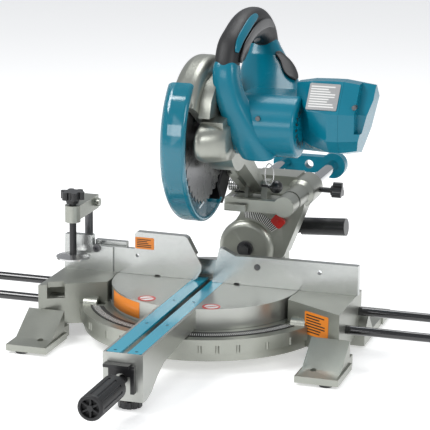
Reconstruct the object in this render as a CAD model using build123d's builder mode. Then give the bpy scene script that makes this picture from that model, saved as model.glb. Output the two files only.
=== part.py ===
from build123d import *
import math
import os

# Slide compound mitre saw. Millimetres, +Z up, +X to the operator's right, -Y towards the operator.
# Origin: turntable pivot axis at the level of the foot undersides. The fence face is the plane y = 0.

# driving dimensions
table_z = 74.0            # top of the table
half_width = 215.0        # base, from the pivot axis to either side
rim_radius = 132.5        # turntable
ring_radius = 177.0       # front scale ring
kerf_half_width = 23.2
arm_half_width = 26.5
arm_front_y = -338.0
blade_radius = 95.0
blade_y, blade_z = -10.0, 286.0        # blade centre with the head raised
pivot_y, pivot_z = 145.0, 182.0        # head pivot axis, along X
drum_y = 189.0            # front face of the bevel drum, axis along Y at table level
pipe_z = 160.0            # upper slide pipes, along Y
pipe_xs = (0.0, 77.0)
pipe_radius = 9.25
pole_z = 33.5             # lower slide poles, along Y
pole_xs = (-34.0, 34.0)
pole_radius = 8.0
pole_bush_radius = 10.0
rod_radius = 6.0          # extension rods, along X
rods_yz = ((20.0, 47.0), (-56.0, 43.0))
bench_hole = (193.0, 142.0)
running_gap = 0.05
clear = 0.3

os.makedirs("parts", exist_ok=True)


def block(x, y, z, mode=Mode.ADD):
    """A box between two limits on each axis."""
    with Locations(((x[0] + x[1]) / 2, (y[0] + y[1]) / 2, (z[0] + z[1]) / 2)):
        return Box(x[1] - x[0], y[1] - y[0], z[1] - z[0], mode=mode)


def bar(start, end, radius, mode=Mode.ADD, end_radius=None):
    """A round bar or a cone from one point to another."""
    start, end = Vector(*start), Vector(*end)
    plane = Plane(origin=start, z_dir=end - start)
    with BuildSketch(plane) as near:
        Circle(radius)
    if end_radius is None:
        return extrude(near.sketch, amount=(end - start).length, mode=mode)
    with BuildSketch(plane.offset((end - start).length)) as far:
        Circle(end_radius)
    return loft([near.sketch, far.sketch], mode=mode)


def side_plate(points, x, mode=Mode.ADD):
    """A plate whose outline is given as (y, z), between two x limits."""
    with BuildSketch(Plane.YZ.offset(x[0])) as face:
        with BuildLine():
            Polyline(*points, close=True)
        make_face()
    return extrude(face.sketch, amount=x[1] - x[0], mode=mode)


def front_plate(points, y, mode=Mode.ADD):
    """A plate whose outline is given as (x, z), between two y limits."""
    with BuildSketch(Plane.XZ.offset(-y[1])) as face:
        with BuildLine():
            Polyline(*points, close=True)
        make_face()
    return extrude(face.sketch, amount=y[1] - y[0], mode=mode)


def floor_plate(points, z, mode=Mode.ADD):
    """A plate whose outline is given as (x, y), between two z limits."""
    with BuildSketch(Plane.XY.offset(z[0])) as face:
        with BuildLine():
            Polyline(*points, close=True)
        make_face()
    return extrude(face.sketch, amount=z[1] - z[0], mode=mode)


def ring(center, axis, radii, length, mode=Mode.ADD):
    """A tube of inner and outer radius along an axis, from its starting centre."""
    with BuildSketch(Plane(origin=center, z_dir=axis)) as face:
        Circle(radii[1])
        Circle(radii[0], mode=Mode.SUBTRACT)
    return extrude(face.sketch, amount=length, mode=mode)


def save(builder, label):
    builder.part.label = label
    export_step(builder.part, f"parts/{label}.step")


def head_point(angle, radius):
    """(y, z) of a point at an angle and radius about the blade centre, 0 degrees to the rear."""
    turn = math.radians(angle)
    return blade_y + radius * math.cos(turn), blade_z + radius * math.sin(turn)


def blade_sector(radii, x, angles, mode=Mode.ADD):
    """A plate between two radii and two angles about the blade centre."""
    mid = sum(angles) / 2
    with BuildSketch(Plane.YZ.offset(x[0])) as face:
        with BuildLine():
            outer = ThreePointArc(*(head_point(a, radii[1]) for a in (angles[0], mid, angles[1])))
            inner = ThreePointArc(*(head_point(a, radii[0]) for a in (angles[0], mid, angles[1])))
            Line(outer @ 0, inner @ 0)
            Line(outer @ 1, inner @ 1)
        make_face()
    return extrude(face.sketch, amount=x[1] - x[0], mode=mode)


# ---------------------------------------------------------------- base, bolted to the bench
wing_front_y = -95.0
wing_inner = (131.0, -46.0)
wing_rear_y = 33.0
clamp_x, clamp_y = 203.0, -56.0        # rod clamp screws

with BuildPart() as base_casting:
    for side in (-1, 1):
        wing = [
            (side * half_width, wing_front_y),
            (side * wing_inner[0], wing_inner[1]),
            (side * wing_inner[0], wing_rear_y),
            (side * half_width, wing_rear_y),
        ]
        floor_plate(wing, (16, table_z))
        # flared leg and foot plate, front and rear
        leg_top = [(-168, 9), (-140, 11), (wing_front_y + 2, 40)]
        leg = [(-168, 0), *leg_top, (wing_front_y + 2, 16), (-76, 16), (-76, 0)]
        side_plate(leg, sorted((side * 177, side * 230)))
        block(sorted((side * 174, side * 233)), (-168, -92), (0, 9))
        side_plate([(10, 0), (10, 16), (33, 40), (60, 12), (164, 9), (164, 0)], sorted((side * 178, side * 226)))
        block(sorted((side * 170, side * 228)), (118, 166), (0, 9))
        block(sorted((side * 96, side * 150)), (-44, 26), (12, 20.5))
    with BuildSketch(Plane.XY.offset(12)) as floor_disc:
        Circle(118)
    extrude(floor_disc.sketch, amount=7)
    with BuildSketch(Plane.XY.offset(14)) as apron:
        Circle(ring_radius - 5)
        Circle(112, mode=Mode.SUBTRACT)
        with Locations((0, 160)):
            Rectangle(400, 400, mode=Mode.SUBTRACT)
    extrude(apron.sketch, amount=12)
    with BuildSketch(Plane.XY.offset(26)) as scale_ring:
        Circle(ring_radius)
        Circle(rim_radius + 1, mode=Mode.SUBTRACT)
        with Locations((0, 160)):
            Rectangle(400, 400, mode=Mode.SUBTRACT)
    extrude(scale_ring.sketch, amount=19)
    # detent notches in the front of the ring
    for angle in (-47, -45, -31.6, -22.5, -15, 0, 15, 22.5, 31.6, 45, 57):
        turn = math.radians(angle - 90)
        at = (ring_radius * math.cos(turn), ring_radius * math.sin(turn), 26)
        bar(at, (at[0], at[1], 37), 2.6, mode=Mode.SUBTRACT)
    # well for the turntable
    with BuildSketch(Plane.XY.offset(24)) as well:
        Circle(rim_radius + 1)
    extrude(well.sketch, amount=60, mode=Mode.SUBTRACT)
    for side in (-1, 1):
        # the wing is cast hollow from below, with the rod bosses left standing
        inner = [
            (side * (half_width - 6), wing_front_y + 9),
            (side * 146, -48),
            (side * 146, wing_rear_y - 6),
            (side * (half_width - 6), wing_rear_y - 6),
        ]
        floor_plate(inner, (10, table_z - 8), mode=Mode.SUBTRACT)
        for y, z in rods_yz:
            bar((side * 185, y, z), (side * half_width, y, z), 11)
            bar((side * 140, y, z), (side * 160, y, z), 11)
        block(sorted((side * 137, side * 214)), (0, 24), (table_z, table_z + clear))
        for hole_y in (-bench_hole[1], bench_hole[1]):
            bar((side * bench_hole[0], hole_y, -1), (side * bench_hole[0], hole_y, 20), 4.25, mode=Mode.SUBTRACT)
        bar((side * clamp_x, clamp_y, 10), (side * clamp_x, clamp_y, 43), 2.9 + running_gap, mode=Mode.SUBTRACT)
    # guide for the vise rod and the pocket in front of it
    bar((-190, 36, 42), (-190, 36, table_z), 12)
    bar((-190, 36, 10), (-190, 36, table_z + 2), 6 + running_gap, mode=Mode.SUBTRACT)
    for side in (-1, 1):
        for y, z in rods_yz:
            bar((side * 130, y, z), (side * 220, y, z), rod_radius + running_gap, mode=Mode.SUBTRACT)
    floor_plate([(-202, -96), (-179, -82.6), (-190, -64), (-209, -75)], (54, table_z + 1), mode=Mode.SUBTRACT)
    # pivot bore
    bar((0, 0, 10), (0, 0, 26), 9 + running_gap, mode=Mode.SUBTRACT)
save(base_casting, "base_casting")

with BuildPart() as mitre_scale:
    with BuildSketch(Plane.XY.offset(45)) as strip:
        Circle(ring_radius - 14)
        Circle(ring_radius - 32, mode=Mode.SUBTRACT)
        with Locations((0, 130)):
            Rectangle(400, 400, mode=Mode.SUBTRACT)
    extrude(strip.sketch, amount=0.8)
save(mitre_scale, "mitre_scale")

with BuildPart() as rubber_feet:
    for side in (-1, 1):
        for y in (-156, 154):
            bar((side * 214, y, 0), (side * 214, y, -4), 10, end_radius=9)
save(rubber_feet, "rubber_feet")

with BuildPart() as turntable_pivot_bolt:
    bar((0, 0, 9), (0, 0, 12), 13)
    bar((0, 0, 9), (0, 0, 40), 9)
save(turntable_pivot_bolt, "turntable_pivot_bolt")

# ---------------------------------------------------------------- fence
fence_low = table_z + clear
left_face = [
    (-213.6, fence_low), (-212.6, 125), (-171, 126), (-151.4, 118), (-135.2, 118.7),
    (-124.8, 111.3), (-76.7, 111.1), (-39.3, 88), (-19.3, fence_low),
]
right_face = [
    (7.8, fence_low), (18, 124), (23, 123.9), (42, 114.6), (62.9, 115.5), (216.5, 115.9), (217, fence_low),
]
sub_face = [
    (-107, 111.4), (-107, 134), (-104, 137), (-33, 136.6), (-28.6, 134), (-7.5, 96),
    (-8.2, 88), (-14.7, 77), (-18.4, 75.2), (-38.6, 88.6), (-76.2, 111.4),
]

with BuildPart() as fence_left:
    front_plate(left_face, (0, 11))
    block((-213.6, -22), (11, 24), (fence_low, 81))
    for x in (-212, -174, -120, -52):
        side_plate([(11, 81), (24, 81), (11, 104)], (x, x + 7))
    # the strip that the sub-fence slides past lies back, and so does the shoulder above it
    block((-140, 0), (-1, 3), (70, 112), mode=Mode.SUBTRACT)
    block((-171, -124), (-1, 12.6), (111.2, 130), mode=Mode.SUBTRACT)
    block((-171, -124), (12.6, 22), (100, 117))
    # bridge behind the blade gap
    block((-58, -50), (11, 38), (fence_low, 96))
    block((-58, 58), (31, 38), (fence_low, 98))
    bar((-163.9, -1, 108), (-163.9, 24, 108), 3.3, mode=Mode.SUBTRACT)
    bar((-104.2, -1, 101.9), (-104.2, 24, 101.9), 2.6, mode=Mode.SUBTRACT)
    for x in (-195, -150):
        bar((x, 17.5, 70), (x, 17.5, 90), 3.2, mode=Mode.SUBTRACT)
    block((-78, -70), (-1, 24), (fence_low - 1, fence_low + 2), mode=Mode.SUBTRACT)
save(fence_left, "fence_left")

with BuildPart() as fence_right:
    front_plate(right_face, (0, 11))
    block((24, 213), (11, 24), (fence_low, 81))
    for x in (60, 100, 150, 198):
        side_plate([(11, 81), (24, 81), (11, 104)], (x, x + 7))
    block((50, 58), (11, 31 - clear), (fence_low, 96))
    bar((73.5, -1, 101.8), (73.5, 24, 101.8), 3.2, mode=Mode.SUBTRACT)
    bar((73.5, -1, 101.8), (73.5, 2.4, 101.8), 4.7, mode=Mode.SUBTRACT)
    bar((162.4, -1, 102.4), (162.4, 24, 102.4), 3.4, mode=Mode.SUBTRACT)
    for x in (142, 190):
        bar((x, 17.5, 70), (x, 17.5, 90), 3.2, mode=Mode.SUBTRACT)
    block((40, 48), (-1, 24), (fence_low - 1, fence_low + 2), mode=Mode.SUBTRACT)
save(fence_right, "fence_right")

with BuildPart() as fence_bolts:
    for x in (-195, -150, 142, 190):
        bar((x, 17.5, 81), (x, 17.5, 86), 5.5)
        bar((x, 17.5, 75), (x, 17.5, 86), 3)
    # socket bolt in the left face and the small screw in the right one
    bar((-163.9, -2.5, 108), (-163.9, 0, 108), 5.6)
    bar((-163.9, -2.5, 108), (-163.9, 16, 108), 3.1)
    bar((-163.9, -3, 108), (-163.9, -0.5, 108), 2.4, mode=Mode.SUBTRACT)
    bar((73.5, 0.3, 101.8), (73.5, 2.4, 101.8), 4.4)
    bar((73.5, 0.3, 101.8), (73.5, 9, 101.8), 3)
save(fence_bolts, "fence_bolts")

with BuildPart() as sub_fence:
    front_plate(sub_face, (0, 12))
    block((-110, 0), (2.7, 13), (70, 111.4), mode=Mode.SUBTRACT)
    front_plate([(-98, 132), (-40, 132), (-28, 114), (-98, 114)], (8, 13), mode=Mode.SUBTRACT)
save(sub_fence, "sub_fence")

# ---------------------------------------------------------------- extension rods and their holders
for side, name in ((-1, "left"), (1, "right")):
    with BuildPart() as extension_rods:
        for y, z in rods_yz:
            bar((side * 150, y, z), (side * 384, y, z), rod_radius)
    save(extension_rods, f"{name}_extension_rods")

    with BuildPart() as workpiece_holder:
        block(sorted((side * 374, side * 388)), (-72, 36), (34, 57))
        side_plate([(-40, 57), (-34, 74), (4, 74), (10, 57)], sorted((side * 380, side * 388)))
        block(sorted((side * 352, side * 388)), (-34, 4), (71, 74))
        for y, z in rods_yz:
            bar((side * 360, y, z), (side * 384, y, z), rod_radius, mode=Mode.SUBTRACT)
    save(workpiece_holder, f"{name}_workpiece_holder")

    with BuildPart() as rod_clamp:
        bar((side * clamp_x, clamp_y, 36.6), (side * clamp_x, clamp_y, 12), 2.9)
        bar((side * clamp_x, clamp_y, 12), (side * clamp_x, clamp_y, 3), 9)
        for turn in range(3):
            angle = math.radians(120 * turn + 30)
            at = (side * clamp_x + 9 * math.cos(angle), clamp_y + 9 * math.sin(angle))
            bar((*at, 12), (*at, 3), 4.5)
    save(rod_clamp, f"{name}_rod_clamp")

# ---------------------------------------------------------------- hold-down vise
vise_x, vise_rod_y, vise_screw_y = -190.0, 36.0, -26.0

with BuildPart() as vise_rod:
    bar((vise_x, vise_rod_y, 34), (vise_x, vise_rod_y, 155), 6)
save(vise_rod, "vise_rod")

with BuildPart() as vise_arm:
    block((vise_x - 11, vise_x + 11), (vise_screw_y, 47), (155, 175))
    bar((vise_x, vise_screw_y, 151), (vise_x, vise_screw_y, 175), 11)
    block((vise_x - 8.5, vise_x + 8.5), (-14, 24), (154, 172), mode=Mode.SUBTRACT)
    bar((vise_x, vise_screw_y, 150), (vise_x, vise_screw_y, 176), 5 + running_gap, mode=Mode.SUBTRACT)
    bar((vise_x + 11, vise_rod_y, 166), (vise_x + 17, vise_rod_y, 166), 6)
save(vise_arm, "vise_arm")

with BuildPart() as vise_screw:
    bar((vise_x, vise_screw_y, 104), (vise_x, vise_screw_y, 180), 5)
    bar((vise_x, vise_screw_y, 178), (vise_x, vise_screw_y, 184), 9, end_radius=11)
    bar((vise_x, vise_screw_y, 184), (vise_x, vise_screw_y, 195), 12)
    for turn in range(6):
        angle = math.radians(60 * turn)
        at = (vise_x + 13 * math.cos(angle), vise_screw_y + 13 * math.sin(angle))
        bar((*at, 184), (*at, 195), 4.6)
save(vise_screw, "vise_screw")

with BuildPart() as vise_plate:
    bar((vise_x, vise_screw_y, 98.6), (vise_x, vise_screw_y, 101), 24)
    bar((vise_x, vise_screw_y, 101), (vise_x, vise_screw_y, 104), 22, end_radius=9)
save(vise_plate, "vise_plate")

# ---------------------------------------------------------------- turntable with its arm
with BuildPart() as turntable:
    bar((0, 0, 42), (0, 0, table_z), rim_radius)
    side_plate(
        [(arm_front_y, table_z), (arm_front_y, 12), (-326, 11), (-306, 16), (-284, 30), (-258, 40), (-184, 46.3),
         (-90, 46.3), (-90, table_z)],
        (-arm_half_width, arm_half_width),
    )
    bar((0, 0, 42), (0, 0, 62), rim_radius - 8, mode=Mode.SUBTRACT)
    side_plate(
        [(-331, 64), (-331, 4), (-304, 4), (-280, 23), (-258, 33), (-130, 39), (-90, 39), (-90, 64)],
        (-arm_half_width + 5, arm_half_width - 5), mode=Mode.SUBTRACT,
    )
    # hub and the two long bosses that guide the lower slide poles
    bar((0, 0, 19.3), (0, 0, 64), 22)
    for x in pole_xs:
        for y in ((-62, -24), (64, 118)):
            bar((x, y[0], pole_z), (x, y[1], pole_z), 12.5)
            block((x - 6, x + 6), y, (pole_z + 11, 63))
    block((-60, 60), (112, 140), (40, 52), mode=Mode.SUBTRACT)
    for x in pole_xs:
        bar((x, -140, pole_z), (x, 140, pole_z), pole_bush_radius, mode=Mode.SUBTRACT)
    bar((0, 0, 15), (0, 0, 44), 9 + running_gap, mode=Mode.SUBTRACT)
    # recess for the kerf boards, and the slot that the blade drops into
    block((-kerf_half_width - 0.2, kerf_half_width + 0.2), (-336.8, 24), (71, table_z + 1), mode=Mode.SUBTRACT)
    block((-5.5, 5.5), (-320, 20), (20, 72), mode=Mode.SUBTRACT)
    # openings at the front of the arm for the grip screw, the lock lever and the foot
    bar((0, arm_front_y - 1, 40.6), (0, -325, 40.6), 6 + running_gap, mode=Mode.SUBTRACT)
    bar((0, -312, 5), (0, -312, 40), 5 + running_gap, mode=Mode.SUBTRACT)
    block((-8, 8), (-322, -303), (30, 45), mode=Mode.SUBTRACT)
save(turntable, "turntable")

for side, name in ((-1, "left"), (1, "right")):
    with BuildPart() as kerf_board:
        floor_plate(
            [(side * 4.5, -336.5), (side * 20, -336.5), (side * kerf_half_width, -333),
             (side * kerf_half_width, 16), (side * 4.5, 22)],
            (71, table_z),
        )
        for y in (-327, -210, -100, 4):
            bar((side * 14, y, 70), (side * 14, y, 75), 2.2, mode=Mode.SUBTRACT)
    save(kerf_board, f"kerf_board_{name}")

with BuildPart() as kerf_board_screws:
    for side in (-1, 1):
        for y in (-327, -210, -100, 4):
            bar((side * 14, y, 71), (side * 14, y, table_z - 0.4), 2)
save(kerf_board_screws, "kerf_board_screws")

with BuildPart() as lower_pole_bushes:
    for x in pole_xs:
        for y in (-62, 96):
            ring((x, y, pole_z), (0, 1, 0), (pole_radius + running_gap, pole_bush_radius), 22)
save(lower_pole_bushes, "lower_pole_bushes")

with BuildPart() as mitre_grip:
    bar((0, -330, 40.6), (0, -366, 40.6), 6)
    bar((0, -354, 40.6), (0, -372, 40.6), 9, end_radius=15)
    bar((0, -372, 40.6), (0, -452, 40.6), 16.5)
    fillet(mitre_grip.part.faces().sort_by(Axis.Y)[0].edges(), 3)
    for turn in range(12):
        angle = math.radians(30 * turn)
        at = (16.9 * math.cos(angle), 40.6 + 16.9 * math.sin(angle))
        bar((at[0], -384, at[1]), (at[0], -446, at[1]), 1.6, mode=Mode.SUBTRACT)
    bar((0, -446, 40.6), (0, -453, 40.6), 12, mode=Mode.SUBTRACT)
    bar((0, -440, 40.6), (0, -451.5, 40.6), 4)
    for turn in range(6):
        angle = math.radians(60 * turn + 30)
        spoke = Vector(math.cos(angle), 0, math.sin(angle)) * 13
        bar((0, -449, 40.6), (spoke.X, -449, 40.6 + spoke.Z), 1.6)
save(mitre_grip, "mitre_grip")

with BuildPart() as mitre_lock_lever:
    block((-22, 12), (-351, -339.4), (58, 62))
    block((-17, 17), (-345, -339.4), (46, 60))
    for side in (-1, 1):
        block(sorted((side * 12, side * 17)), (-345, -338.4), (24, 50))
    bar((-17, -342, 56), (17, -342, 56), 3.4)
    bar((0, -336, 40.6), (0, -352, 40.6), 9.5, mode=Mode.SUBTRACT)
save(mitre_lock_lever, "mitre_lock_lever")

with BuildPart() as adjusting_foot:
    bar((0, -312, 6), (0, -312, 40), 5)
    bar((0, -312, -3), (0, -312, 6), 15.5)
    for turn in range(12):
        angle = math.radians(30 * turn)
        at = (16.2 * math.cos(angle), -312 + 16.2 * math.sin(angle))
        bar((*at, -4), (*at, 7), 1.8, mode=Mode.SUBTRACT)
save(adjusting_foot, "adjusting_foot")

# ---------------------------------------------------------------- carriage on the lower slide poles
holder_y = (237.0, 264.0)

with BuildPart() as lower_slide_poles:
    for x in pole_xs:
        bar((x, -76, pole_z), (x, 262, pole_z), pole_radius)
save(lower_slide_poles, "lower_slide_poles")

with BuildPart() as bevel_holder:
    with BuildSketch(Plane.XZ.offset(-holder_y[1])) as face:
        with Locations((0, table_z)):
            Circle(41)
        with Locations((0, 48.5)):
            RectangleRounded(96, 56, 9)
    extrude(face.sketch, amount=holder_y[1] - holder_y[0])
    bar((0, 230, table_z), (0, 270, table_z), 8 + running_gap, mode=Mode.SUBTRACT)
    for x in pole_xs:
        bar((x, 230, pole_z), (x, 262.05, pole_z), pole_radius, mode=Mode.SUBTRACT)
save(bevel_holder, "bevel_holder")

with BuildPart() as bevel_pivot_bolt:
    bar((0, 184, table_z), (0, 272, table_z), 8)
    bar((0, 185, table_z), (0, drum_y - 0.3, table_z), 12)
    with BuildSketch(Plane(origin=(0, 185, table_z), z_dir=(0, -1, 0))) as hexagon:
        RegularPolygon(8.2, 6)
    extrude(hexagon.sketch, amount=6)
    bar((0, 272, table_z), (0, 278, table_z), 13)
save(bevel_pivot_bolt, "bevel_pivot_bolt")

with BuildPart() as bevel_lever:
    bar((0, 280, table_z), (0, 290, table_z), 17)
    front_plate([(-6, 62), (8, 60), (66, 84), (66, 98), (50, 98), (-4, 90)], (280, 290))
    bar((62, 285, 91), (132, 281, 96), 13.4)
    bar((0, 270, table_z), (0, 300, table_z), 8 + clear, mode=Mode.SUBTRACT)
save(bevel_lever, "bevel_lever")

# ---------------------------------------------------------------- bevel arm with the pipe holder
with BuildPart() as bevel_arm:
    bar((0, drum_y, table_z), (0, holder_y[0] - clear, table_z), 43)
    fillet(bevel_arm.part.faces().sort_by(Axis.Y)[0].edges(), 11)
    front_plate(
        [(-30, 96), (-12, 124), (-4, 150), (88, 150), (86, 138), (58, 66), (46, 52), (20, 70)],
        (196, holder_y[0] - clear),
    )
    for x in pipe_xs:
        bar((x, 156, pipe_z), (x, 206, pipe_z), 15.5)
        bar((x, 200, pipe_z), (x, 212, pipe_z), 15.5, end_radius=21.5)
        bar((x, 212, pipe_z), (x, 262, pipe_z), 21.5)
    block((0, pipe_xs[1]), (160, 258), (149, 170))
    block((6, 71), (212, 258), (165, 184))
    for x in pipe_xs:
        bar((x, 150, pipe_z), (x, 270, pipe_z), 11.5, mode=Mode.SUBTRACT)
    bar((0, 180, table_z), (0, 250, table_z), 8 + running_gap, mode=Mode.SUBTRACT)
    bar((70, 245, pipe_z), (110, 245, pipe_z), 4 + running_gap, mode=Mode.SUBTRACT)
    # seat of the stop button
    bar((50, 190, 120), (50, 215, 120), 7 + running_gap, mode=Mode.SUBTRACT)
save(bevel_arm, "bevel_arm")

with BuildPart() as bevel_scale_plate:
    with BuildSketch(Plane(origin=(0, 196, table_z), x_dir=(1, 0, 0), z_dir=(0, -1, 0))) as strip:
        with BuildLine():
            outer = ThreePointArc((-4, 58), (26, 52), (48, 34))
            inner = ThreePointArc((-4, 46), (20, 41.5), (38, 27))
            Line(outer @ 0, inner @ 0)
            Line(outer @ 1, inner @ 1)
        make_face()
    extrude(strip.sketch, amount=1)
save(bevel_scale_plate, "bevel_scale_plate")

with BuildPart() as slide_bushes:
    for x in pipe_xs:
        for y in (158, 238):
            ring((x, y, pipe_z), (0, 1, 0), (pipe_radius + running_gap, 11.5), 22)
save(slide_bushes, "slide_bushes")

with BuildPart() as bevel_stop_button:
    bar((50, 192, 120), (50, 208, 120), 7)
    with BuildSketch(Plane(origin=(50, 192, 120), x_dir=(0.766, 0, -0.643), z_dir=(0, -1, 0))) as cap:
        RectangleRounded(19, 16, 4)
    extrude(cap.sketch, amount=5)
    bar((50, 186, 120), (50, 184.5, 120), 3)
save(bevel_stop_button, "bevel_stop_button")

with BuildPart() as slide_lock_knob:
    bar((pipe_xs[1] + 11.6, 245, pipe_z), (118, 245, pipe_z), 4)
    bar((116, 245, pipe_z), (133, 245, pipe_z), 7.5)
    for turn in range(3):
        angle = math.radians(120 * turn + 90)
        at = (245 + 8.5 * math.cos(angle), pipe_z + 8.5 * math.sin(angle))
        bar((119, *at), (133, *at), 4.6)
save(slide_lock_knob, "slide_lock_knob")

# ---------------------------------------------------------------- upper slide
with BuildPart() as upper_slide_pipes:
    for x in pipe_xs:
        bar((x, 122, pipe_z), (x, 424, pipe_z), pipe_radius)
        bar((x, 130, pipe_z), (x, 425, pipe_z), pipe_radius - 2, mode=Mode.SUBTRACT)
save(upper_slide_pipes, "upper_slide_pipes")

ears_x = ((16.5, 21.5), (41.0, 50.0))
straps_x = ((5.0, 16.0), (22.0, 40.5))

with BuildPart() as pivot_block:
    block((-13, pipe_xs[1]), (120, 152), (148, 169))
    chamfer(pivot_block.part.edges(), 2)
    bar((pipe_xs[1], 118, pipe_z), (pipe_xs[1], 152, pipe_z), 15)
    for x in ears_x:
        side_plate([(124, 168), (130, 186), (136, 193), (152, 193), (156, 186), (156, 176), (150, 168)], x)
    block((-10, 22), (112, 122), (150, 160))
    for x in pipe_xs:
        bar((x, 121.95, pipe_z), (x, 160, pipe_z), pipe_radius, mode=Mode.SUBTRACT)
    bar((10, pivot_y, pivot_z), (60, pivot_y, pivot_z), 5, mode=Mode.SUBTRACT)
    bar((40, 132, 186), (60, 132, 186), 2.6 + running_gap, mode=Mode.SUBTRACT)
save(pivot_block, "pivot_block")

with BuildPart() as rear_pipe_holder:
    with BuildSketch(Plane(origin=(0, 426, pipe_z), x_dir=(1, 0, 0), z_dir=(0, -1, 0))) as face:
        with Locations(*[(x, 0) for x in pipe_xs]):
            Circle(20)
        with Locations((sum(pipe_xs) / 2, 0)):
            Rectangle(pipe_xs[1], 26)
            Circle(7, mode=Mode.SUBTRACT)
    extrude(face.sketch, amount=18)
    for x in pipe_xs:
        bar((x, 400, pipe_z), (x, 424.05, pipe_z), pipe_radius, mode=Mode.SUBTRACT)
save(rear_pipe_holder, "rear_pipe_holder")

with BuildPart() as head_pivot_shaft:
    bar((-13, pivot_y, pivot_z), (53, pivot_y, pivot_z), 5)
save(head_pivot_shaft, "head_pivot_shaft")

with BuildPart() as stopper_pin:
    with BuildSketch(Plane(origin=(62, 132, 186), x_dir=(1, 0, 0), z_dir=(0, -1, 0))) as half:
        Circle(9.5)
        with Locations((-10.4, 0)):
            Rectangle(20.8, 5.2)
        with Locations((0, -15)):
            Rectangle(60, 30, mode=Mode.SUBTRACT)
    revolve(half.sketch, axis=Axis((62, 132, 186), (1, 0, 0)))
save(stopper_pin, "stopper_pin")

# ---------------------------------------------------------------- saw head, on the pivot shaft
motor_y, motor_z = -11.0, 310.0        # motor axis, along X
barrel_radius = 42.0
gear_teeth, pinion_teeth = 30, 10
gear_radius, pinion_radius = 17.9, 5.9
case_radius = 110.0
guard_radius = 119.0
blade_center = (0, blade_y, blade_z)


def along_blade_axis(x):
    return x, blade_y, blade_z


def along_motor_axis(x):
    return x, motor_y, motor_z


def turned_shell(outline, corners, angles):
    """A shell about the blade axis: an (x, radius) outline with rounded corners, turned from angle to angle."""
    turn = math.radians(angles[0])
    plane = Plane(blade_center, x_dir=(1, 0, 0), z_dir=(0, -math.sin(turn), math.cos(turn)))
    with BuildSketch(plane) as section:
        with BuildLine():
            Polyline(*outline, close=True)
        make_face()
        for at, radius in corners:
            vertex = section.vertices().sort_by_distance(Vector(*at))[0]
            fillet(vertex, radius)
    return revolve(section.sketch, axis=Axis(blade_center, (1, 0, 0)), revolution_arc=angles[1] - angles[0])


def bend_sections(stations):
    """Elliptic sections along a bend, from stations of (x, y, z, half width in x, half depth)."""
    points = [Vector(*s[:3]) for s in stations]
    sections = []
    for i, station in enumerate(stations):
        tangent = points[min(i + 1, len(points) - 1)] - points[max(i - 1, 0)]
        plane = Plane(points[i], x_dir=(1, 0, 0), z_dir=Vector(0, tangent.Y, tangent.Z))
        with BuildSketch(plane) as section:
            Ellipse(station[3], station[4])
        sections.append(section.sketch)
    return sections


# gear housing: barrel round the spindle, a ledge on top, and two straps back to the pivot
def gear_case(end, mode=Mode.ADD):
    """The closed mass of the gear housing, up to an x of end."""
    bar(along_blade_axis(14.5), along_blade_axis(end), 46, mode=mode)
    bar(along_motor_axis(22), along_motor_axis(end), 36, mode=mode)
    side_plate([(-80, 318), (-20, 330), (-10, 300), (-60, 285), (-74, 290)], (14.5, 46), mode=mode)
    side_plate([(-88, 324), (-80, 346), (-56, 368), (-22, 376), (0, 330), (-20, 320)], (14.5, 30), mode=mode)


with BuildPart() as gear_housing:
    gear_case(50)
    side_plate([(-84, 300), (-60, 306), (-52, 284), (-80, 282)], (14.5, 24))
    side_plate([(24, 250), (40, 262), (70, 258), (62, 236)], (14.5, 26))
    for x, tail in zip(straps_x, (112, 46)):
        bar((x[0], pivot_y, pivot_z), (x[1], pivot_y, pivot_z), 9)
        toward = math.radians(145.9)
        away = Vector(0, math.cos(toward), math.sin(toward))
        across = Vector(0, -away.Z, away.Y)
        near = Vector(0, pivot_y, pivot_z) + away * 3
        far = Vector(0, pivot_y, pivot_z) + away * (188 - tail)
        corners = [near + across * 7.6, near - across * 7.6, far - across * 13, far + across * 13]
        side_plate([(c.Y, c.Z) for c in corners], x)
    side_plate([(20, 300), (100, 240), (80, 208), (0, 262)], (14.5, 22))
    for x in straps_x:
        bar((x[0] - 1, pivot_y, pivot_z), (x[1] + 1, pivot_y, pivot_z), 5 + running_gap, mode=Mode.SUBTRACT)
    bar(along_blade_axis(10), along_blade_axis(60), 12, mode=Mode.SUBTRACT)
    bar(along_blade_axis(16), along_blade_axis(60), 17, mode=Mode.SUBTRACT)
    bar(along_blade_axis(27), along_blade_axis(41.5), 20, mode=Mode.SUBTRACT)
    bar(along_motor_axis(26), along_motor_axis(60), 8, mode=Mode.SUBTRACT)
save(gear_housing, "gear_housing")

with BuildPart() as blade_case:
    turned_shell(
        [(-24, 4), (-24, case_radius), (14.2, case_radius), (14.2, 48), (11, 48), (11, case_radius - 3.2),
         (-20.8, case_radius - 3.2), (-20.8, 4)],
        [((-24, case_radius), 15), ((14.2, case_radius), 13), ((11, case_radius - 3.2), 9.8),
         ((-20.8, case_radius - 3.2), 11.8)],
        (-26, 150),
    )
    blade_sector((46, case_radius - 2), (3, 12), (146.5, 150))
    bar(along_blade_axis(-31), along_blade_axis(-20.8), 13)
    # dust outlet at the back of the case
    with BuildSketch(Plane(origin=(-6, 92, 268), z_dir=(0, 0.97, -0.2))) as mouth:
        Circle(14)
    extrude(mouth.sketch, amount=30)
    with BuildSketch(Plane(origin=(-6, 82, 270.1), z_dir=(0, 0.97, -0.2))) as bore:
        Circle(11.5)
    extrude(bore.sketch, amount=60, mode=Mode.SUBTRACT)
save(blade_case, "blade_case")

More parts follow.
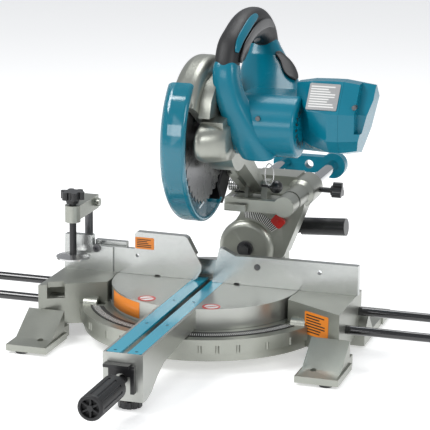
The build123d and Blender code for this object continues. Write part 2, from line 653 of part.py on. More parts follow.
with BuildPart() as blade_guard:
    turned_shell(
        [(-29, 68), (-29, guard_radius), (8, guard_radius), (8, 112), (5.8, 112), (5.8, guard_radius - 2.4),
         (-26.8, guard_radius - 2.4), (-26.8, 68)],
        [((-29, guard_radius), 13), ((8, guard_radius), 5), ((5.8, guard_radius - 2.4), 2.6),
         ((-26.8, guard_radius - 2.4), 10.6)],
        (134, 298),
    )
    blade_sector((16, 69), (-29, -26.8), (186, 252))
    ring(along_blade_axis(-29), (1, 0, 0), (13 + running_gap, 20), 2.2)
save(blade_guard, "blade_guard")

tooth_count = 40
with BuildPart() as saw_blade:
    outline = []
    for tooth in range(tooth_count):
        for share, radius in ((0, blade_radius), (0.35, blade_radius - 6.5), (0.6, blade_radius - 3)):
            turn = math.tau * (tooth + share) / tooth_count
            outline.append((blade_y + radius * math.cos(turn), blade_z + radius * math.sin(turn)))
    side_plate(outline, (-0.9, 0.9))
    bar(along_blade_axis(-2), along_blade_axis(2), 10, mode=Mode.SUBTRACT)
    for slot in range(4):
        turn = math.radians(90 * slot + 20)
        inner = (blade_y + 78 * math.cos(turn), blade_z + 78 * math.sin(turn))
        outer = (blade_y + 96 * math.cos(turn), blade_z + 96 * math.sin(turn))
        along = (0, math.cos(turn), math.sin(turn))
        with BuildSketch(Plane(origin=(-2, *inner), x_dir=along, z_dir=(1, 0, 0))) as cut:
            SlotOverall(36, 1.6)
        extrude(cut.sketch, amount=4, mode=Mode.SUBTRACT)
save(saw_blade, "saw_blade")

with BuildPart() as blade_flanges:
    ring(along_blade_axis(-5), (1, 0, 0), (10, 20), 4.1)
    ring(along_blade_axis(0.9), (1, 0, 0), (10, 20), 3.6)
    bar(along_blade_axis(-7.5), along_blade_axis(-5), 12)
    with BuildSketch(Plane(along_blade_axis(-14), z_dir=(1, 0, 0))) as hexagon:
        RegularPolygon(9, 6)
    extrude(hexagon.sketch, amount=6.5)
save(blade_flanges, "blade_flanges")

with BuildPart() as spindle:
    bar(along_blade_axis(-4.9), along_blade_axis(48), 9.98)
    bar(along_blade_axis(30), along_blade_axis(40), gear_radius)
    for tooth in range(gear_teeth):
        turn = math.tau * tooth / gear_teeth
        at = (blade_y + gear_radius * math.cos(turn), blade_z + gear_radius * math.sin(turn))
        bar((29, *at), (41, *at), 0.9, mode=Mode.SUBTRACT)
save(spindle, "spindle")

with BuildPart() as spindle_bearings:
    for x in (16.5, 42.5):
        ring(along_blade_axis(x), (1, 0, 0), (10, 16.95), 7)
save(spindle_bearings, "spindle_bearings")

with BuildPart() as motor_rotor:
    bar(along_motor_axis(28), along_motor_axis(116), 4)
    bar(along_motor_axis(60), along_motor_axis(98), 24)
    bar(along_motor_axis(30), along_motor_axis(40), pinion_radius)
    for tooth in range(pinion_teeth):
        turn = math.tau * tooth / pinion_teeth
        at = (motor_y + pinion_radius * math.cos(turn), motor_z + pinion_radius * math.sin(turn))
        bar((29, *at), (41, *at), 0.9, mode=Mode.SUBTRACT)
    bar(along_motor_axis(103), along_motor_axis(105), 29)
    for blade in range(9):
        turn = math.tau * blade / 9
        tip = (motor_y + 28 * math.cos(turn), motor_z + 28 * math.sin(turn))
        bar((108, motor_y, motor_z), (108, *tip), 2.4)
save(motor_rotor, "motor_rotor")

with BuildPart() as motor_stator:
    ring(along_motor_axis(58), (1, 0, 0), (25, 33.9), 42)
save(motor_stator, "motor_stator")

# motor housing: a barrel along X with a faceted body beside it for the battery terminals
barrel_end = 135.0
neck_x = 148.0
body_start = 176.0
split_x = 191.0
end_x = 232.0
body_outline = [(-4, 370), (-35, 331), (-34, 294), (-20, 276), (24, 266), (50, 300), (44, 352), (20, 370)]
neck_outline = [(-4, 369), (-32, 333), (-14, 300), (-4, 280), (24, 267), (49, 300), (43, 352), (20, 369)]
root_outline = [(6, 364), (4, 345), (6, 312), (6, 290), (24, 268), (46, 300), (42, 350), (24, 364)]
end_outline = [(-6, 366), (-34, 332), (-33, 298), (-20, 284), (16, 276), (36, 304), (32, 348), (14, 366)]

with BuildPart() as housing_blank:
    bar((50.3, motor_y, motor_z - 4), (barrel_end, motor_y, motor_z - 4), barrel_radius)
    fillet(housing_blank.part.faces().sort_by(Axis.X)[-1].edges(), 5)
    side_plate(body_outline, (body_start, split_x))
    # the body grows out of the back of the barrel
    growth = []
    for x, outline in ((124, root_outline), (neck_x, neck_outline), (body_start, body_outline)):
        with BuildSketch(Plane.YZ.offset(x)) as stage:
            with BuildLine():
                Polyline(*outline, close=True)
            make_face()
        growth.append(stage.sketch)
    loft(growth, ruled=True)
    side_plate([(-8, 346), (48, 346), (56, 300), (30, 266), (-8, 264)], (50.3, 125))

with BuildPart() as motor_housing:
    add(housing_blank.part)
    bar(along_motor_axis(50), along_motor_axis(120), 34, mode=Mode.SUBTRACT)
    # ring of cooling vents in the end of the barrel
    for vent in range(16):
        turn = math.tau * vent / 16
        at = (motor_y + 23 * math.cos(turn), motor_z - 4 + 23 * math.sin(turn))
        if at[0] < 3:
            bar((118, *at), (barrel_end + 1, *at), 2.8, mode=Mode.SUBTRACT)
save(motor_housing, "motor_housing")

with BuildPart() as battery_cap:
    with BuildSketch(Plane.YZ.offset(split_x + 0.2)) as near:
        with BuildLine():
            Polyline(*body_outline, close=True)
        make_face()
    with BuildSketch(Plane.YZ.offset(end_x)) as far:
        with BuildLine():
            Polyline(*end_outline, close=True)
        make_face()
    loft([near.sketch, far.sketch])
    # the end face leans in towards the bottom
    front_plate([(end_x + 1, 352), (end_x + 1, 250), (end_x - 22, 262)], (-60, 80), mode=Mode.SUBTRACT)
    # guide recess for the battery slide, open at the end
    side_plate([(2, 380), (-48, 326), (-48, 306), (-22, 306), (-22, 330), (12, 368), (12, 380)],
               (213, end_x + 1), mode=Mode.SUBTRACT)
save(battery_cap, "battery_cap")

# handle: stations of centre, half width across and half depth along the bend
front_strut = [
    (80, -30, 276, 24, 22), (68, -36, 296, 23, 23), (55, -42, 324, 21, 21), (45, -46, 350, 19, 18.5),
    (40, -45, 371, 17.5, 18.2),
]
grip_run = [
    (39, -40, 392, 17.5, 18.6), (39, -27, 409, 17.5, 19.6), (40, -6, 419, 17.5, 21), (40, 26, 428, 17.5, 22.5),
    (40, 62, 431, 17.5, 22.5),
    (40, 96, 427, 17.5, 21.5), (41, 124, 412, 17.5, 20),
]
rear_strut = [
    (42, 134, 392, 22, 20), (48, 124, 368, 33, 22), (57, 104, 350, 42, 24), (66, 80, 334, 44, 26),
    (76, 50, 318, 44, 26),
]
handle_sections = bend_sections(front_strut + grip_run + rear_strut)
grip_start, grip_end = len(front_strut), len(front_strut) + len(grip_run)
core_radius, core_rise = 9.0, 4.0
trigger_pocket = (30, 50), (-14, 106), (380, 424)

core_run = [(x, y, z + core_rise, core_radius, core_radius)
            for x, y, z, across, deep in [front_strut[-1], *grip_run, rear_strut[0]]]
core_sections = bend_sections(core_run)

with BuildPart() as handle_frame:
    loft(handle_sections[:grip_start + 1])
    loft(handle_sections[grip_end - 1:])
    bar((50, motor_y, motor_z - 4), (barrel_end, motor_y, motor_z - 4), barrel_radius, mode=Mode.SUBTRACT)
    side_plate([(-8, 346), (48, 346), (56, 300), (30, 266), (-8, 264)], (50, 125), mode=Mode.SUBTRACT)
    gear_case(50.3, mode=Mode.SUBTRACT)
    loft(core_sections)
save(handle_frame, "handle_frame")

with BuildPart() as rubber_grip:
    loft(handle_sections[grip_start:grip_end])
    loft(core_sections, mode=Mode.SUBTRACT)
    block(*trigger_pocket, mode=Mode.SUBTRACT)
save(rubber_grip, "rubber_grip")

with BuildPart() as side_pad:
    pad_plane = Plane(origin=(82, 96, 363), x_dir=(0.32, -0.71, -0.63), z_dir=(0.62, -0.36, 0.7))
    with BuildSketch(pad_plane) as pad:
        Ellipse(29, 12)
    extrude(pad.sketch, amount=3)
    extrude(pad.sketch, amount=-16)
    add(handle_frame.part, mode=Mode.SUBTRACT)
    add(housing_blank.part, mode=Mode.SUBTRACT)
save(side_pad, "side_pad")

with BuildPart() as trigger:
    side_plate([(-12, 400), (-4, 408.5), (20, 416.5), (42, 419.5), (44, 411), (30, 398), (10, 388), (-4, 387)], (31, 49))
save(trigger, "trigger")

with BuildPart() as lock_off_lever:
    side_plate([(54, 416), (60, 423), (98, 421), (103, 411), (92, 402), (62, 404)], (33, 46.5))
save(lock_off_lever, "lock_off_lever")

with BuildPart() as dust_guide:
    blade_sector((98, 135), (-20, 3), (303, 334))
    blade_sector((90, 131), (-17, 0), (300, 331), mode=Mode.SUBTRACT)
save(dust_guide, "dust_guide")

with BuildPart() as return_spring:
    for coil in range(5):
        with Locations(Location((-11 + 3 * coil, pivot_y, pivot_z), (0, 90, 0))):
            Torus(8, 1.4)
save(return_spring, "return_spring")

with BuildPart() as housing_screws:
    for x, y, z in ((86, -53, 322), (212, -31, 341)):
        bar((x, y, z), (x, y + 8, z), 3.2)
    for part in (housing_blank, battery_cap):
        add(part.part, mode=Mode.SUBTRACT)
save(housing_screws, "housing_screws")
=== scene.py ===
import math
import bmesh
import bpy
import numpy as np
from mathutils import Matrix, Vector


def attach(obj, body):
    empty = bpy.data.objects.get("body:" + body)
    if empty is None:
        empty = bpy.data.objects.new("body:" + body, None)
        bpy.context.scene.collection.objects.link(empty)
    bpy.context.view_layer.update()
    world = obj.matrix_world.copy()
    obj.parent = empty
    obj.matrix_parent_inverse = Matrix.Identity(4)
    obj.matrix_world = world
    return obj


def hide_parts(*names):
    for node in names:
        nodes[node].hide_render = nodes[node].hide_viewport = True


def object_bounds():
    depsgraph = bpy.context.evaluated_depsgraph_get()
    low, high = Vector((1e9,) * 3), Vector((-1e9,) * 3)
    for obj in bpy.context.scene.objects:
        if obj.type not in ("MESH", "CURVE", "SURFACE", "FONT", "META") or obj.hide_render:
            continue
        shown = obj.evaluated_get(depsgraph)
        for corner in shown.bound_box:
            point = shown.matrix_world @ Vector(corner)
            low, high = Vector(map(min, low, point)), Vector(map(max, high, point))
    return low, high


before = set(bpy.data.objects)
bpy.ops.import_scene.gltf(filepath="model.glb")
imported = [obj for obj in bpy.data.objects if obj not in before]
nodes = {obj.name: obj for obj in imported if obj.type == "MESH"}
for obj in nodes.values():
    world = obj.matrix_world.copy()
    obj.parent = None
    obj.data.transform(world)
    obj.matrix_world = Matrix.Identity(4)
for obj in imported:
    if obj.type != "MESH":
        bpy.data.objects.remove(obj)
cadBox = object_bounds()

# ---- camera, light and floor

cameraSetup = {
    "place": (0.7751, -2.4307, 0.8113),
    "aim": (0.0149, -0.0111, 0.1742),
    "roll": 0.55,          # degrees
    "lens": 158.6,
}
cameraData = bpy.data.cameras.new("camera")
cameraData.lens = cameraSetup["lens"]
cameraData.sensor_width = 36
cameraData.clip_end = 50
camera = bpy.data.objects.new("camera", cameraData)
bpy.context.scene.collection.objects.link(camera)
toAim = Vector(cameraSetup["aim"]) - Vector(cameraSetup["place"])
turn = toAim.to_track_quat("-Z", "Y").to_matrix().to_4x4()
camera.matrix_world = (Matrix.Translation(cameraSetup["place"]) @ turn
                       @ Matrix.Rotation(math.radians(cameraSetup["roll"]), 4, "Z"))
bpy.context.scene.camera = camera

lightSetup = {
    # name: place, size, watts
    "keySoftbox": ((-1.3, -1.2, 2.0), 1.0, 34),
    "rightSoftbox": ((1.8, -1.1, 1.3), 0.8, 13),
    "topSoftbox": ((0.1, 0.9, 2.1), 1.2, 20),
    "lowFront": ((-0.6, -2.4, 0.9), 0.6, 5),
}
for name, (place, size, watts) in lightSetup.items():
    lamp = bpy.data.lights.new(name, "AREA")
    lamp.energy = watts
    lamp.size = size
    lampObject = bpy.data.objects.new(name, lamp)
    lampObject.location = place
    lampObject.rotation_euler = (Vector((0, 0, 0.15)) - Vector(place)).to_track_quat("-Z", "Y").to_euler()
    bpy.context.scene.collection.objects.link(lampObject)

world = bpy.data.worlds.new("studio")
world.use_nodes = True
world.node_tree.nodes["Background"].inputs["Color"].default_value = (0.93, 0.96, 1, 1)
world.node_tree.nodes["Background"].inputs["Strength"].default_value = 0.42
bpy.context.scene.world = world
bpy.context.scene.view_settings.view_transform = "Standard"


def smoothMesh(name, verts, faces, smooth=True):
    mesh = bpy.data.meshes.new(name)
    mesh.from_pydata(np.asarray(verts, float).reshape(-1, 3).tolist(), [], faces)
    mesh.validate()
    mesh.update()
    if smooth:
        mesh.polygons.foreach_set("use_smooth", np.ones(len(mesh.polygons), bool))
    piece = bpy.data.objects.new(name, mesh)
    bpy.context.scene.collection.objects.link(piece)
    return piece


floorHeight = cadBox[0].z
floorPiece = smoothMesh("floor", [(-30, -30, floorHeight), (30, -30, floorHeight), (30, 30, floorHeight),
                                  (-30, 30, floorHeight)], [(0, 1, 2, 3)], smooth=False)
print("camera, lights and floor are in place")

# ---- shared shader groups


def newGroup(name, inputs, outputs):
    group = bpy.data.node_groups.new(name, "ShaderNodeTree")
    for label, kind, value in inputs:
        socket = group.interface.new_socket(label, in_out="INPUT", socket_type=kind)
        socket.default_value = value
    for label, kind in outputs:
        group.interface.new_socket(label, in_out="OUTPUT", socket_type=kind)
    return group, group.nodes.new("NodeGroupInput"), group.nodes.new("NodeGroupOutput")


def addNode(tree, kind, **settings):
    node = tree.nodes.new(kind)
    for key, value in settings.items():
        if key.startswith("in_"):
            node.inputs[key[3:].replace("_", " ")].default_value = value
        else:
            setattr(node, key, value)
    return node


def mathNode(tree, operation, first, second=None, clamp=False):
    node = tree.nodes.new("ShaderNodeMath")
    node.operation = operation
    node.use_clamp = clamp
    for index, value in enumerate((first, second)):
        if value is None:
            continue
        if isinstance(value, (int, float)):
            node.inputs[index].default_value = value
        else:
            tree.links.new(value, node.inputs[index])
    return node.outputs[0]


def mixColour(tree, factor, first, second, blend="MIX"):
    node = tree.nodes.new("ShaderNodeMix")
    node.data_type = "RGBA"
    node.blend_type = blend
    for socket, value in ((node.inputs[0], factor), (node.inputs[6], first), (node.inputs[7], second)):
        if isinstance(value, (int, float, tuple)):
            socket.default_value = value
        else:
            tree.links.new(value, socket)
    return node.outputs[2]


def makeMottleGroup():
    # slow cloudy change of tone and roughness, with a finer speckle, and a height for the bump
    group, start, end = newGroup("surfaceMottle", [
        ("Scale", "NodeSocketFloat", 60.0), ("Tone", "NodeSocketFloat", 0.1),
        ("Grain", "NodeSocketFloat", 900.0), ("Colour", "NodeSocketColor", (0.5, 0.5, 0.5, 1)),
        ("Roughness", "NodeSocketFloat", 0.4),
    ], [("Colour", "NodeSocketColor"), ("Roughness", "NodeSocketFloat"), ("Height", "NodeSocketFloat")])
    place = addNode(group, "ShaderNodeTexCoord")
    cloud = addNode(group, "ShaderNodeTexNoise", in_Detail=4.0)
    speckle = addNode(group, "ShaderNodeTexNoise", in_Detail=2.0)
    group.links.new(place.outputs["Object"], cloud.inputs["Vector"])
    group.links.new(place.outputs["Object"], speckle.inputs["Vector"])
    group.links.new(start.outputs["Scale"], cloud.inputs["Scale"])
    group.links.new(start.outputs["Grain"], speckle.inputs["Scale"])
    centred = mathNode(group, "SUBTRACT", cloud.outputs["Fac"], 0.5)
    fine = mathNode(group, "SUBTRACT", speckle.outputs["Fac"], 0.5)
    both = mathNode(group, "ADD", centred, mathNode(group, "MULTIPLY", fine, 0.5))
    shift = mathNode(group, "MULTIPLY", both, start.outputs["Tone"])
    gain = mathNode(group, "ADD", mathNode(group, "MULTIPLY", shift, 2.0), 1.0)
    scaled = addNode(group, "ShaderNodeVectorMath", operation="SCALE")
    group.links.new(start.outputs["Colour"], scaled.inputs[0])
    group.links.new(gain, scaled.inputs["Scale"])
    group.links.new(scaled.outputs[0], end.inputs["Colour"])
    roughShift = mathNode(group, "MULTIPLY", shift, 0.8)
    rough = mathNode(group, "ADD", start.outputs["Roughness"], roughShift, clamp=True)
    group.links.new(rough, end.inputs["Roughness"])
    group.links.new(speckle.outputs["Fac"], end.inputs["Height"])
    return group


def makeWearAndHighlightGroup():
    # a mask that is 1 on convex edges, broken up by noise; the edges it marks turn lighter, partly as worn
    # edges and partly as painted highlight
    group, start, end = newGroup("edgeWearAndHighlight", [
        ("Amount", "NodeSocketFloat", 0.5), ("Breakup", "NodeSocketFloat", 160.0),
    ], [("Mask", "NodeSocketFloat")])
    shape = addNode(group, "ShaderNodeNewGeometry")
    place = addNode(group, "ShaderNodeTexCoord")
    noise = addNode(group, "ShaderNodeTexNoise", in_Detail=3.0)
    group.links.new(place.outputs["Object"], noise.inputs["Vector"])
    group.links.new(start.outputs["Breakup"], noise.inputs["Scale"])
    sharp = mathNode(group, "SUBTRACT", shape.outputs["Pointiness"], 0.56)
    edge = mathNode(group, "MULTIPLY", sharp, 7.0, clamp=True)
    broken = mathNode(group, "MULTIPLY", edge, mathNode(group, "MULTIPLY", noise.outputs["Fac"], 1.6))
    mask = mathNode(group, "MULTIPLY", broken, start.outputs["Amount"], clamp=True)
    group.links.new(mask, end.inputs["Mask"])
    return group


mottleGroup = makeMottleGroup()
wearAndHighlightGroup = makeWearAndHighlightGroup()


def makeMaterial(name, look):
    # look: colour, roughness, specular, metallic, coat, alpha, tone, scale, grain, bump, amount and
    # colour of the lighter convex edges (partly worn edges, partly painted highlight) and pattern
    material = bpy.data.materials.new(name)
    material.use_nodes = True
    tree = material.node_tree
    shader = tree.nodes["Principled BSDF"]
    mottle = addNode(tree, "ShaderNodeGroup", node_tree=mottleGroup)
    mottle.inputs["Colour"].default_value = (*look["colour"], 1)
    mottle.inputs["Roughness"].default_value = look["roughness"]
    mottle.inputs["Scale"].default_value = look.get("scale", 40)
    mottle.inputs["Tone"].default_value = look.get("tone", 0.12)
    mottle.inputs["Grain"].default_value = look.get("grain", 1200)
    colour = mottle.outputs["Colour"]
    # convex edges are mixed towards a lighter colour, partly worn edges and, on the teal plastic and the
    # guard, painted highlight
    if look.get("wearAndHighlight"):
        wearAndHighlight = addNode(tree, "ShaderNodeGroup", node_tree=wearAndHighlightGroup)
        wearAndHighlight.inputs["Amount"].default_value = look["wearAndHighlight"]
        colour = mixColour(tree, wearAndHighlight.outputs["Mask"], colour, (*look.get("wearAndHighlightColour", (0.6, 0.6, 0.6)), 1))
    if look.get("pattern"):
        colour = look["pattern"](tree, colour)
    tree.links.new(colour, shader.inputs["Base Color"])
    tree.links.new(mottle.outputs["Roughness"], shader.inputs["Roughness"])
    if look.get("bump"):
        bump = addNode(tree, "ShaderNodeBump", in_Strength=0.35, in_Distance=look["bump"])
        tree.links.new(mottle.outputs["Height"], bump.inputs["Height"])
        tree.links.new(bump.outputs["Normal"], shader.inputs["Normal"])
    shader.inputs["Metallic"].default_value = look.get("metallic", 0)
    shader.inputs["Coat Weight"].default_value = look.get("coat", 0)
    shader.inputs["Coat Roughness"].default_value = 0.08
    shader.inputs["Specular IOR Level"].default_value = look.get("specular", 0.5)
    shader.inputs["Alpha"].default_value = look.get("alpha", 1)
    return material


def objectAxis(tree, axis):
    place = addNode(tree, "ShaderNodeTexCoord")
    split = addNode(tree, "ShaderNodeSeparateXYZ")
    tree.links.new(place.outputs["Object"], split.inputs[0])
    return split.outputs[axis]


def radiusAbout(tree, x, y):
    squares = mathNode(tree, "ADD", mathNode(tree, "MULTIPLY", x, x), mathNode(tree, "MULTIPLY", y, y))
    return mathNode(tree, "SQRT", squares)


def tickPhase(tree, angle, spacing):
    # distance from the middle of a tick's share of the angle, 0 on the tick and 0.5 between two ticks
    degrees = mathNode(tree, "MULTIPLY", angle, 180 / math.pi)
    phase = mathNode(tree, "FRACT", mathNode(tree, "ADD", mathNode(tree, "DIVIDE", degrees, spacing), 100.5))
    return mathNode(tree, "ABSOLUTE", mathNode(tree, "SUBTRACT", phase, 0.5))


def tickPattern(radiusRange, spacing, tickColour):
    # radial ticks about the turntable axis, between two radii, one every spacing degrees
    def paint(tree, base):
        x, y = objectAxis(tree, 0), objectAxis(tree, 1)
        angle = mathNode(tree, "ARCTAN2", x, mathNode(tree, "MULTIPLY", y, -1.0))
        line = mathNode(tree, "LESS_THAN", tickPhase(tree, angle, spacing), 0.13)
        radius = radiusAbout(tree, x, y)
        inside = mathNode(tree, "MULTIPLY", mathNode(tree, "GREATER_THAN", radius, radiusRange[0]),
                          mathNode(tree, "LESS_THAN", radius, radiusRange[1]))
        return mixColour(tree, mathNode(tree, "MULTIPLY", line, inside), base, (*tickColour, 1))
    return paint


def bevelTicks(tree, base):
    # ticks about the bevel axis on the tilt scale, one every 3 degrees
    x, z = objectAxis(tree, 0), mathNode(tree, "SUBTRACT", objectAxis(tree, 2), 0.074)
    line = mathNode(tree, "LESS_THAN", tickPhase(tree, mathNode(tree, "ARCTAN2", x, z), 3.0), 0.2)
    return mixColour(tree, line, base, (0.85, 0.85, 0.83, 1))


def shadeByWave(tree, base, distance, frequency, strength):
    # the colour times 1 + strength * sin(distance * frequency)
    wave = mathNode(tree, "SINE", mathNode(tree, "MULTIPLY", distance, frequency))
    gain = mathNode(tree, "ADD", mathNode(tree, "MULTIPLY", wave, strength), 1.0)
    scaled = addNode(tree, "ShaderNodeVectorMath", operation="SCALE")
    tree.links.new(base, scaled.inputs[0])
    tree.links.new(gain, scaled.inputs["Scale"])
    return scaled.outputs[0]


def millingPattern(axis, frequency, strength):
    # fine straight machining marks along one axis
    def paint(tree, base):
        return shadeByWave(tree, base, objectAxis(tree, axis), frequency, strength)
    return paint


def turnedRings(centre, frequency, strength):
    # concentric lathe marks about a vertical axis
    def paint(tree, base):
        x = mathNode(tree, "SUBTRACT", objectAxis(tree, 0), centre[0])
        y = mathNode(tree, "SUBTRACT", objectAxis(tree, 1), centre[1])
        return shadeByWave(tree, base, radiusAbout(tree, x, y), frequency, strength)
    return paint


looks = {
    "castMetal": {"colour": (0.36, 0.37, 0.33), "roughness": 0.33, "metallic": 0.8, "tone": 0.12,
        "scale": 22, "grain": 700, "bump": 0.0004, "wearAndHighlight": 0.35, "wearAndHighlightColour": (0.82, 0.82, 0.8)},
    "milledMetal": {"colour": (0.46, 0.475, 0.46), "roughness": 0.25, "metallic": 0.88, "tone": 0.08,
        "scale": 30, "grain": 1500, "bump": 0.0001, "wearAndHighlight": 0.3, "wearAndHighlightColour": (0.9, 0.9, 0.9),
        "pattern": millingPattern(0, 5200, 0.05)},
    "turnedMetal": {"colour": (0.46, 0.47, 0.44), "roughness": 0.3, "metallic": 0.82, "tone": 0.08,
        "scale": 24, "grain": 1300, "bump": 0.0001, "wearAndHighlight": 0.3, "wearAndHighlightColour": (0.85, 0.85, 0.85),
        "pattern": turnedRings((0, 0), 3800, 0.05)},
    # the pale teal on the teal plastic's convex edges is a painted highlight
    "tealPlastic": {"colour": (0.0, 0.155, 0.23), "roughness": 0.26, "specular": 0.35, "tone": 0.08,
        "scale": 30, "grain": 2400, "bump": 8e-05, "wearAndHighlight": 0.15, "wearAndHighlightColour": (0.05, 0.36, 0.48),
        "coat": 0.2},
    "blackRubber": {"colour": (0.012, 0.012, 0.013), "roughness": 0.5, "tone": 0.2, "scale": 40,
        "grain": 1800, "bump": 0.0003, "wearAndHighlight": 0.15, "wearAndHighlightColour": (0.06, 0.06, 0.06)},
    "blackPlastic": {"colour": (0.011, 0.011, 0.012), "roughness": 0.32, "tone": 0.15, "scale": 40,
        "grain": 2200, "bump": 0.0001, "wearAndHighlight": 0.15, "wearAndHighlightColour": (0.07, 0.07, 0.07), "coat": 0.15},
    # the pale cyan on the guard's convex edges is a painted highlight
    "guardPlastic": {"colour": (0.0, 0.18, 0.26), "roughness": 0.07, "specular": 0.5, "tone": 0.05,
        "scale": 12, "grain": 600, "coat": 0.7, "alpha": 0.76, "wearAndHighlight": 0.5,
        "wearAndHighlightColour": (0.25, 0.6, 0.7)},
    "glossBlack": {"colour": (0.008, 0.008, 0.009), "roughness": 0.12, "tone": 0.1, "scale": 30,
        "grain": 900, "coat": 0.8},
    "kerfPlastic": {"colour": (0.0, 0.32, 0.46), "roughness": 0.16, "tone": 0.06, "scale": 18,
        "grain": 1500, "coat": 0.6},
    "redPlastic": {"colour": (0.55, 0.015, 0.01), "roughness": 0.3, "tone": 0.08, "grain": 1500,
        "coat": 0.4},
    "orangePaint": {"colour": (0.78, 0.23, 0.015), "roughness": 0.42, "tone": 0.05, "grain": 1500,
        "coat": 0.2},
    "yellowPaint": {"colour": (0.75, 0.5, 0.02), "roughness": 0.4, "tone": 0.05, "grain": 1500,
        "coat": 0.2},
    "whitePaint": {"colour": (0.75, 0.75, 0.73), "roughness": 0.42, "tone": 0.04, "grain": 1500,
        "coat": 0.2},
    "silverFoil": {"colour": (0.42, 0.42, 0.42), "roughness": 0.3, "metallic": 0.6, "tone": 0.06,
        "grain": 1800},
    # black ink for the print, also used for the black plates of painted shade in the vent slots
    "inkAndShadeBlack": {"colour": (0.01, 0.01, 0.01), "roughness": 0.5, "tone": 0.1, "grain": 1500},
    "mitreScalePaint": {"colour": (0.02, 0.02, 0.02), "roughness": 0.5, "tone": 0.1, "grain": 1500,
        "pattern": tickPattern((0.151, 0.16), 1.0, (0.85, 0.85, 0.82))},
    "bevelScalePaint": {"colour": (0.02, 0.02, 0.02), "roughness": 0.4, "tone": 0.1,
        "pattern": bevelTicks},
    "darkSteel": {"colour": (0.08, 0.08, 0.085), "roughness": 0.3, "metallic": 0.85, "tone": 0.15,
        "scale": 50, "grain": 1500, "bump": 0.0001, "wearAndHighlight": 0.4, "wearAndHighlightColour": (0.5, 0.5, 0.5)},
    "bladeSteel": {"colour": (0.28, 0.28, 0.29), "roughness": 0.28, "metallic": 0.9, "tone": 0.1,
        "scale": 40, "grain": 1600, "wearAndHighlight": 0.3, "wearAndHighlightColour": (0.7, 0.7, 0.7)},
    "brightSteel": {"colour": (0.58, 0.58, 0.58), "roughness": 0.22, "metallic": 0.95, "tone": 0.08,
        "scale": 60, "grain": 1800, "wearAndHighlight": 0.3, "wearAndHighlightColour": (0.8, 0.8, 0.8)},
    "chromeTube": {"colour": (0.6, 0.61, 0.62), "roughness": 0.08, "metallic": 1.0, "tone": 0.04,
        "scale": 30, "grain": 1200},
    "motorCopper": {"colour": (0.38, 0.2, 0.1), "roughness": 0.4, "metallic": 0.8, "tone": 0.2,
        "scale": 80},
}
looks["paleFloor"] = {"colour": (0.86, 0.86, 0.86), "roughness": 0.75, "tone": 0.01, "scale": 3, "grain": 300}
materials = {name: makeMaterial(name, look) for name, look in looks.items()}
floorShader = materials["paleFloor"].node_tree.nodes["Principled BSDF"]
floorShader.inputs["Emission Color"].default_value = (1, 1, 1, 1)
floorShader.inputs["Emission Strength"].default_value = 0.42
floorPiece.data.materials.append(materials["paleFloor"])

finishes = {
    "castMetal": ["base_casting", "left_workpiece_holder", "right_workpiece_holder", "bevel_holder",
                  "bevel_arm", "vise_arm", "pivot_block", "gear_housing", "blade_case"],
    "milledMetal": ["fence_left", "fence_right", "sub_fence"],
    "turnedMetal": ["turntable"],
    "tealPlastic": ["rear_pipe_holder", "motor_housing", "battery_cap", "handle_frame"],
    "blackRubber": ["rubber_feet", "rubber_grip", "side_pad", "mitre_grip", "dust_guide"],
    "blackPlastic": ["left_rod_clamp", "right_rod_clamp", "vise_screw", "mitre_lock_lever", "adjusting_foot",
                     "lower_pole_bushes", "bevel_lever", "slide_bushes", "slide_lock_knob", "stopper_pin",
                     "trigger", "lock_off_lever"],
    "guardPlastic": ["blade_guard"],
    "kerfPlastic": ["kerf_board_left", "kerf_board_right"],
    "redPlastic": ["bevel_stop_button"],
    "mitreScalePaint": ["mitre_scale"],
    "bevelScalePaint": ["bevel_scale_plate"],
    "glossBlack": ["left_extension_rods", "right_extension_rods"],
    "darkSteel": ["turntable_pivot_bolt", "fence_bolts", "vise_rod", "kerf_board_screws",
                  "bevel_pivot_bolt", "housing_screws"],
    "bladeSteel": ["saw_blade"],
    "brightSteel": ["vise_plate", "head_pivot_shaft", "return_spring", "blade_flanges", "spindle",
                    "spindle_bearings"],
    "chromeTube": ["lower_slide_poles", "upper_slide_pipes"],
    "motorCopper": ["motor_stator", "motor_rotor"],
}
for materialName, members in finishes.items():
    for member in members:
        nodes[member].data.materials.clear()
        nodes[member].data.materials.append(materials[materialName])

# soft edges on the cast, milled and moulded nodes: edge width in metres
edgeWidths = {
    "base_casting": 0.0018, "turntable": 0.0012, "left_workpiece_holder": 0.002,
    "right_workpiece_holder": 0.002, "bevel_holder": 0.002, "bevel_arm": 0.002, "pivot_block": 0.0015,
    "gear_housing": 0.0022, "blade_case": 0.0006, "rear_pipe_holder": 0.0025, "motor_housing": 0.004,
    "battery_cap": 0.003, "trigger": 0.0025, "lock_off_lever": 0.002, "vise_arm": 0.002,
    "bevel_lever": 0.002, "mitre_lock_lever": 0.0012, "dust_guide": 0.001, "bevel_stop_button": 0.0015,
    "slide_lock_knob": 0.001,
}
for name, width in edgeWidths.items():
    weld = nodes[name].modifiers.new("weld", "WELD")
    weld.merge_threshold = 0.00001
    bevel = nodes[name].modifiers.new("softEdges", "BEVEL")
    bevel.width = width
    bevel.segments = 3
    bevel.limit_method = "ANGLE"
    bevel.angle_limit = math.radians(32)
    shade = nodes[name].modifiers.new("evenShade", "WEIGHTED_NORMAL")
    shade.weight = 90
for name in ("fence_left", "fence_right", "sub_fence", "kerf_board_left", "kerf_board_right"):
    crease = nodes[name].modifiers.new("flatFaces", "EDGE_SPLIT")
    crease.split_angle = math.radians(25)
print("materials are on the frame")

# ---- new surfaces


def gridFaces(rows, columns, wrap, start):
    # quads between neighbouring rows of a grid of points, closed on itself when wrap is set
    index = np.arange(rows * columns).reshape(rows, columns) + start
    here = index if wrap else index[:, :-1]
    beside = np.roll(index, -1, axis=1) if wrap else index[:, 1:]
    return np.stack([here[:-1], beside[:-1], beside[1:], here[1:]], axis=-1).reshape(-1, 4).tolist()


